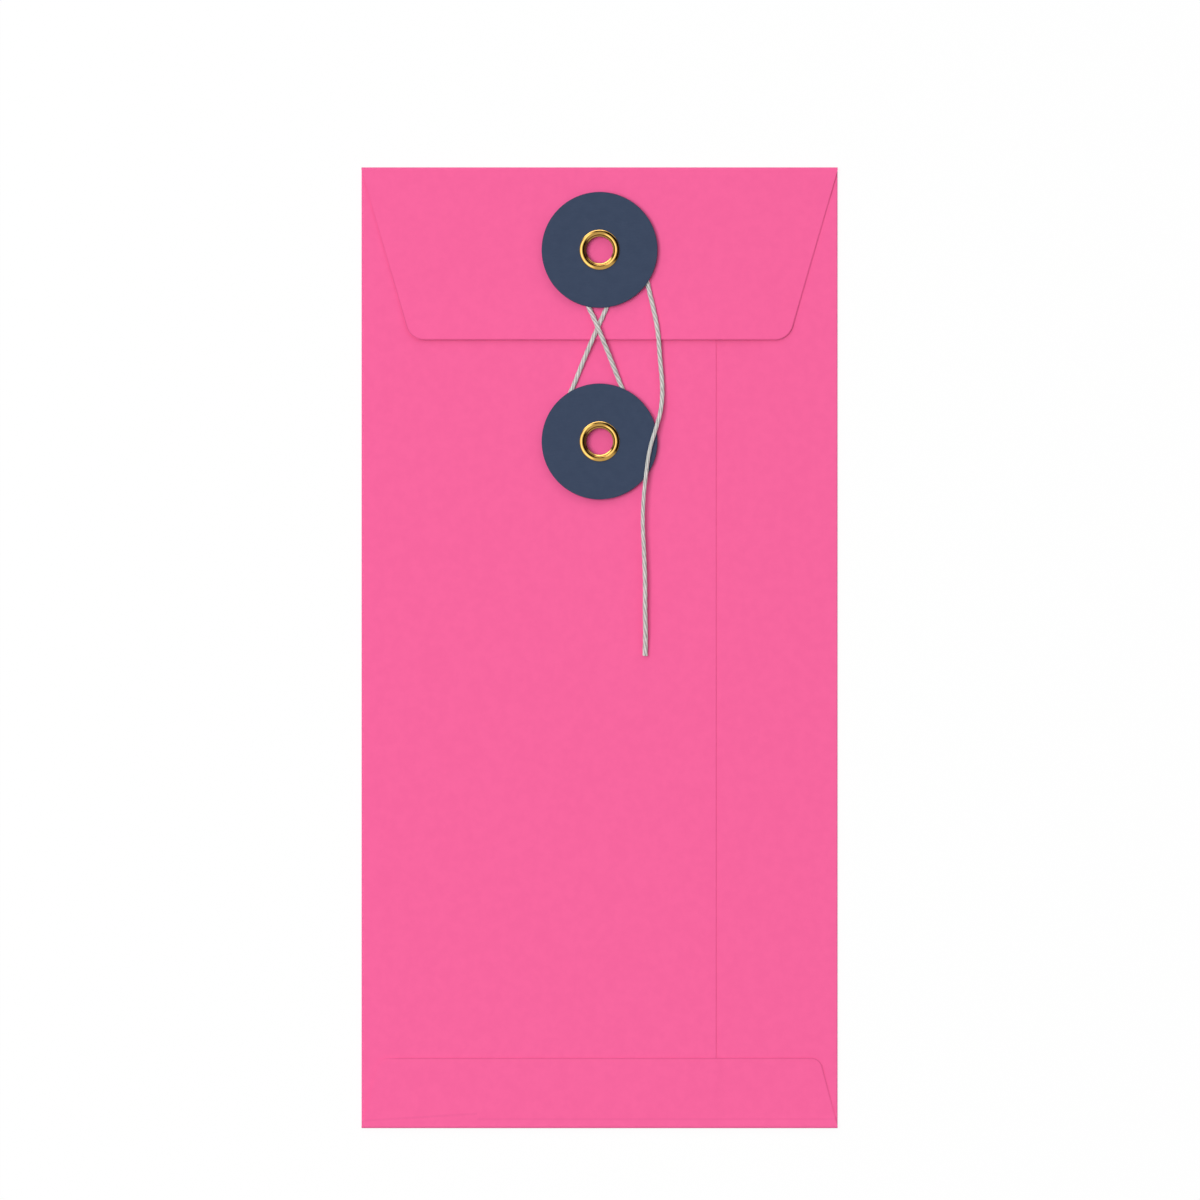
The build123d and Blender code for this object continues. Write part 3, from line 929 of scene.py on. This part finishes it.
def plied_string(name, plies, line, full, material):
    """A mesh of round plies along their lines, with a mask of the grooves between them for painted
    shade.
    """
    curve = bpy.data.curves.new(name, "CURVE")
    curve.dimensions = "3D"
    curve.bevel_depth = PLY_RADIUS
    curve.bevel_resolution = PLY_STEPS
    curve.use_fill_caps = True
    for laid in plies:
        spline = curve.splines.new("POLY")
        spline.points.add(len(laid) - 1)
        for point, place, radius in zip(spline.points, laid, full):
            point.co = (*place, 1.0)
            point.radius = radius
    holder = bpy.data.objects.new(name + "_curve", curve)
    mesh = bpy.data.meshes.new_from_object(holder)
    bpy.data.objects.remove(holder)
    bpy.data.curves.remove(curve)
    mesh.name = name
    mesh.materials.clear()
    mesh.materials.append(material)
    for face in mesh.polygons:
        face.use_smooth = True
    tree = KDTree(len(line))
    for index, place in enumerate(line):
        tree.insert(place, index)
    tree.balance()
    # This mask marks the grooves between the plies, where painted shade goes.
    groove = mesh.attributes.new("groove", "FLOAT", "POINT")
    for vertex in mesh.vertices:
        nearest, index, distance = tree.find(vertex.co)
        depth = 1 - distance / ((PLY_OFFSET + PLY_RADIUS) * full[index])
        groove.data[vertex.index].value = max(0.0, min(1.0, depth / GROOVE_DEPTH))
    piece = bpy.data.objects.new(name, mesh)
    bpy.context.scene.collection.objects.link(piece)
    return piece


cotton, n, shader = new_material("cotton_string")
place = n.add("ShaderNodeTexCoord").outputs
turned = (0, 0, COTTON_FIBRE_TURN)
laid = n.add("ShaderNodeMapping", Vector=place["UV"], Rotation=turned, Scale=COTTON_FIBRES)
fibres = n.add("ShaderNodeTexNoise", Vector=laid.outputs[0], Scale=1.0, Detail=4.0).outputs["Fac"]
slub = n.add("ShaderNodeTexNoise", Vector=place["Object"], Scale=SLUB_SCALE, Detail=2.0).outputs["Fac"]
groove = n.add("ShaderNodeAttribute", attribute_name="groove").outputs["Fac"]
shade = n.math("MULTIPLY", n.ramp(fibres, *COTTON_FIBRE_RANGE, 1.0, 0.0), COTTON_FIBRE_SHADE)
# Painted shade darkens the grooves between the plies; the fibre streaks are the cotton's own tone.
shade = n.math("ADD", shade, n.math("MULTIPLY", groove, COTTON_GROOVE_SHADE), clamp=True)
tint = n.mix(shade, COTTON, COTTON_SHADE)
tint = n.mix(n.math("MULTIPLY", n.ramp(slub, *SLUB_RANGE), SLUB_SHARE), tint, COTTON)
n.put(tint, shader.inputs["Base Color"])
n.put(n.ramp(fibres, *CLOUD_RANGE, *COTTON_ROUGHNESS), shader.inputs["Roughness"])
n.put(COTTON_GLOSS, shader.inputs["Specular IOR Level"])
n.put(COTTON_SHEEN, shader.inputs["Sheen Weight"])
bump = n.add("ShaderNodeBump", Strength=COTTON_NAP, Distance=COTTON_NAP_DEPTH, Height=fibres)
n.put(bump.outputs[0], shader.inputs["Normal"])

line = evenly_spaced(smooth_line(route_points), POINT_GAP)
tie_end = tie_points[-1]
split = min(range(len(line)), key=lambda index: (line[index] - tie_end).length)
full = [fullness(POINT_GAP * (len(line) - 1 - index)) for index in range(len(line))]
plies = ply_lines(line, full)
tied = slice(0, split + 1)
tie = plied_string("string_tied_end", [laid[tied] for laid in plies], line[tied], full[tied], cotton)
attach(tie, "flap")
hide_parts("string_tie")
led = slice(split, None)
string = plied_string("string_length", [laid[led] for laid in plies], line[led], full[led], cotton)
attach(string, "pocket")
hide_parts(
    "string_first_strand",
    "string_lower_turn",
    "string_second_strand",
    "string_upper_turn",
    "string_tail",
)
